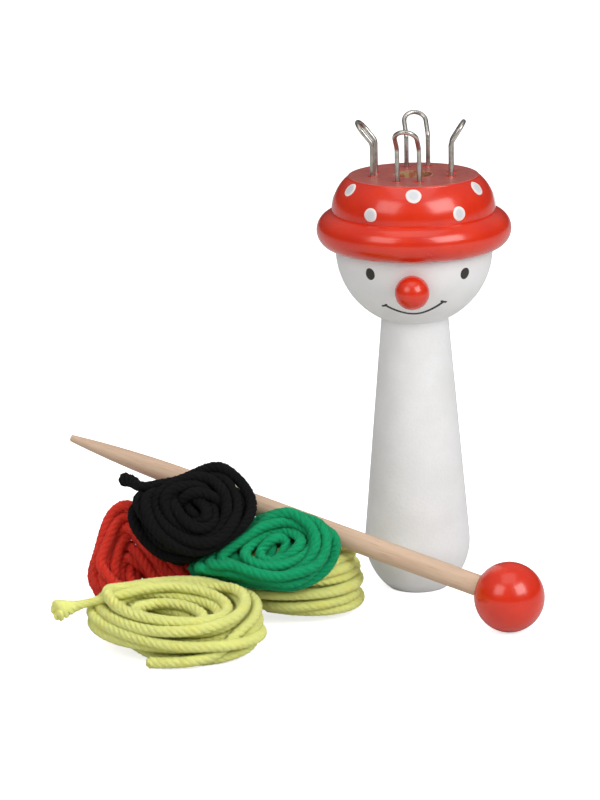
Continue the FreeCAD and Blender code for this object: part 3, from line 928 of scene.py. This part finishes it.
# each ring of dots: where its first dot stands, in degrees, how high above the head's centre, and how far
# the dots stray from even spacing, as they were dabbed on by hand
DOT_RINGS = [(0.0, 0.0195, 0.0), (30.0, 0.0139, 3.4)]
DOT_R = 0.00222


def cap_dots():
    """Two rings of dots on the side of the cap, half a step apart."""
    places = []
    for first, level, stray in DOT_RINGS:
        for k in range(DOTS):
            a = math.radians(first + 360.0 / DOTS * k + stray * math.cos(2.1 * k))
            out = np.array([math.sin(a), -math.cos(a), 0.0])
            hit = on_cap.ray_cast(Vector(out * 0.05 + (0, 0, HEAD_CENTRE[2] + level)), Vector(-out))
            places.append((np.array(hit[0]), np.array(hit[1])))
    drop = paint_drop("dot_drop", DOT_R, DOT_R, 0.00020, white_marks)
    dots = scatter_drops("cap_dots", drop, places, white_marks)
    press_on(dots, on_cap)
    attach(dots, "doll")


def leg_feet(node):
    """Where a hook's two legs stand, from the lowest points of its wire."""
    points = np.array([v.co[:] for v in frame["nodes"][node].data.vertices])
    ends = points[points[:, 2] < points[:, 2].min() + 0.00001]
    across = np.linalg.svd(ends[:, :2] - ends[:, :2].mean(axis=0))[2][0]
    side = (ends[:, :2] - ends[:, :2].mean(axis=0)) @ across
    return [ends[side > 0].mean(axis=0), ends[side < 0].mean(axis=0)]


def leg_paint():
    """Red lacquer that stood in the drilled holes when the cap's top was sanded, round each leg."""
    places = []
    for hook in HOOKS:
        for foot in leg_feet(hook):
            places.append((np.array([foot[0], foot[1], CAP_TOP]), np.array([0.0, 0.0, 1.0])))
    drop = paint_drop("leg_drop", 0.00155, 0.00140, 0.00010, gloss_red, seed=5)
    rings = scatter_drops("leg_paint", drop, places, gloss_red)
    for vertex, lift in zip(rings.data.vertices, rings.data.attributes["lift"].data):
        vertex.co.z = CAP_TOP + lift.value
    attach(rings, "doll")


def face_eye(name, azimuth, elevation):
    eye = paint_drop(name, 0.00162, 0.00185, 0.00010, black_marks, seed=len(name))
    out = Vector(head_way(azimuth, elevation))
    turn = out.to_track_quat("Z", "Y").to_matrix().to_4x4()
    eye.data.transform(Matrix.Translation(Vector(HEAD_CENTRE) + out * HEAD_R) @ turn)
    press_on(eye, on_head)
    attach(eye, "doll")


def face_mouth():
    """A wide smile drawn with a fine brush, with a short stroke across each corner."""
    def stroke(ways):
        ways = np.array(ways, float)
        at = np.linspace(0, len(ways) - 1, 8 * len(ways))
        return [HEAD_CENTRE + HEAD_R * head_way(np.interp(v, range(len(ways)), ways[:, 0]),
                                                np.interp(v, range(len(ways)), ways[:, 1])) for v in at]

    smile = [(-27, -36.2), (-21, -39.6), (-14, -42.6), (-6, -44.6), (1, -44.9), (8, -43.6), (15, -40.4),
             (21, -36.5), (25.5, -32.8)]
    corners = [[(-31.5, -37.4), (-27.5, -36.4), (-25.0, -34.6)],
               [(22.4, -31.6), (25.0, -32.9), (29.0, -33.6)]]
    vertices, faces = [], []
    for ways, half_wide in ((smile, 0.00050), (corners[0], 0.00042), (corners[1], 0.00042)):
        path = smoothed(np.array(stroke(ways)), 12)
        more, more_faces = brush_line(path, half_wide, 0.00009, on_head, len(vertices))
        vertices += more
        faces += more_faces
    mouth = mesh_object("mouth", vertices, faces, black_marks)
    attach(mouth, "doll")


cap_dots()
leg_paint()
face_eye("eye_right", -34.1, -9.5)
face_eye("eye_left", 40.0, -10.7)
face_mouth()

# ---- the yarn -----------------------------------------------------------------------------------------
# each fibre's colours: its own, a dark one for random tone and for painted shade in the furrows, and a pale
# one for lighter fibres
yellow = yarn_fibre("yellow_yarn_fibre", (0.96, 1.0, 0.24, 1), (0.96, 0.83, 0.06, 1),
                    (0.99, 1.0, 0.42, 1), 0.16)
green = yarn_fibre("green_yarn_fibre", (0.001, 0.36, 0.125, 1), (0.0, 0.17, 0.055, 1),
                   (0.008, 0.50, 0.22, 1), 0.05)
black = yarn_fibre("black_yarn_fibre", (0.0028, 0.0028, 0.0034, 1), (0.001, 0.001, 0.001, 1),
                   (0.009, 0.009, 0.010, 1), 0.01)
red = yarn_fibre("red_yarn_fibre", (0.90, 0.036, 0.020, 1), (0.56, 0.012, 0.008, 1),
                 (0.98, 0.070, 0.035, 1), 0.08)

# each hank's fibre, the body it lies on, how far its first end flares, and its loose fibres per millimetre
YARNS = {
    "yarn_yellow_front": (yellow, "yarn_pile", 1.0, 8),
    "yarn_yellow_back": (yellow, "yarn_pile", 0.0, 8),
    "yarn_red": (red, "yarn_pile", 0.0, 8),
    "yarn_green": (green, "green_hank", 0.0, 8),
    "yarn_black": (black, "black_hank", 0.35, 16),
}
settled = settle({name: lay_out(name) for name in YARNS})
for name, (made, body, flare, fuzz) in YARNS.items():
    make_hank(name, settled[name], made, body, flare, fuzz)


# ---- stage, lights and camera -------------------------------------------------------------------------
# how much the paper is lifted towards white where the camera sees it
PAPER_GLOW = 0.72


def make_floor():
    half = 3.0
    floor = mesh_object("floor", [(-half, -half, 0), (half, -half, 0), (half, half, 0), (-half, half, 0)],
                        [(0, 1, 2, 3)], smooth=False)

    def build(t):
        where = t.objects()
        seen = t.add("ShaderNodeLightPath").outputs["Is Camera Ray"]
        paper = t.mix(t.ramp(t.noise(where, 3.0), 0.3, 0.7), (0.90, 0.90, 0.90, 1), (0.92, 0.92, 0.92, 1))
        return {"Base Color": t.mix(seen, (0.72, 0.72, 0.71, 1), paper),
                "Emission Strength": t.math("MULTIPLY", seen, PAPER_GLOW)}
    own(floor, material("paper", build, Roughness=0.9, Specular_IOR_Level=0.1,
                        Emission_Color=(1.0, 1.0, 1.0, 1.0)))


def area_light(name, azimuth, elevation, distance, size, power, target=(-0.02, -0.02, 0.07)):
    """A soft box; azimuth 0 stands in front of the doll's face, positive to its left."""
    light = bpy.data.lights.new(name, "AREA")
    light.shape = "RECTANGLE"
    light.size, light.size_y = size
    light.energy = power
    a, e = math.radians(azimuth), math.radians(elevation)
    away = Vector((math.sin(a) * math.cos(e), -math.cos(a) * math.cos(e), math.sin(e)))
    holder = bpy.data.objects.new(name, light)
    holder.location = Vector(target) + away * distance
    holder.rotation_euler = away.to_track_quat("Z", "Y").to_euler()
    bpy.context.scene.collection.objects.link(holder)


def make_world():
    """White paper behind the object; a softer grey room for everything that the object reflects."""
    world = bpy.data.worlds.new("studio")
    world.use_nodes = True
    t = Tree(world.node_tree)
    path = t.add("ShaderNodeLightPath")
    where = t.add("ShaderNodeTexCoord").outputs["Generated"]
    height = t.add("ShaderNodeSeparateXYZ", {0: where}).outputs[2]
    room = t.mix(t.ramp(height, -0.1, 0.9), (0.16, 0.16, 0.16, 1), (0.56, 0.56, 0.57, 1))
    mirrored = t.mix(t.ramp(height, 0.0, 0.8), (0.05, 0.05, 0.05, 1), (0.32, 0.32, 0.33, 1))
    lit = t.mix(path.outputs["Is Glossy Ray"], room, mirrored)
    color = t.mix(path.outputs["Is Camera Ray"], lit, (1.0, 1.0, 1.0, 1))
    back = t.add("ShaderNodeBackground", {"Color": color, "Strength": 1.0})
    out = t.add("ShaderNodeOutputWorld")
    t.put(out.inputs["Surface"], back.outputs[0])
    bpy.context.scene.world = world


def make_camera():
    """A long lens about a metre away, a little above the object and turned slightly to its right."""
    pitch, yaw, roll = math.radians(14.694), math.radians(2.087), math.radians(-1.201)
    onward = Vector((-math.sin(yaw) * math.cos(pitch), math.cos(yaw) * math.cos(pitch), -math.sin(pitch)))
    level = Vector((math.cos(yaw), math.sin(yaw), 0))
    upright = level.cross(onward)
    right = level * math.cos(roll) + upright * math.sin(roll)
    up = upright * math.cos(roll) - level * math.sin(roll)
    data = bpy.data.cameras.new("camera")
    data.sensor_fit = "VERTICAL"
    data.sensor_height = 24.0
    data.lens = 98.62
    data.clip_start = 0.01
    camera = bpy.data.objects.new("camera", data)
    placed = Matrix((right, up, -onward)).transposed().to_4x4()
    placed.translation = Vector((0.0, -0.950, 0.3072))
    camera.matrix_world = placed
    bpy.context.scene.collection.objects.link(camera)
    bpy.context.scene.camera = camera


make_floor()
make_world()
area_light("box_left", -40, 34, 1.1, (0.60, 0.60), 3.1)
area_light("box_right", 46, 34, 1.1, (0.66, 0.62), 6.9)
area_light("box_top", 0, 80, 1.2, (0.9, 0.9), 2.5)
make_camera()
bpy.context.scene.view_settings.view_transform = "Standard"
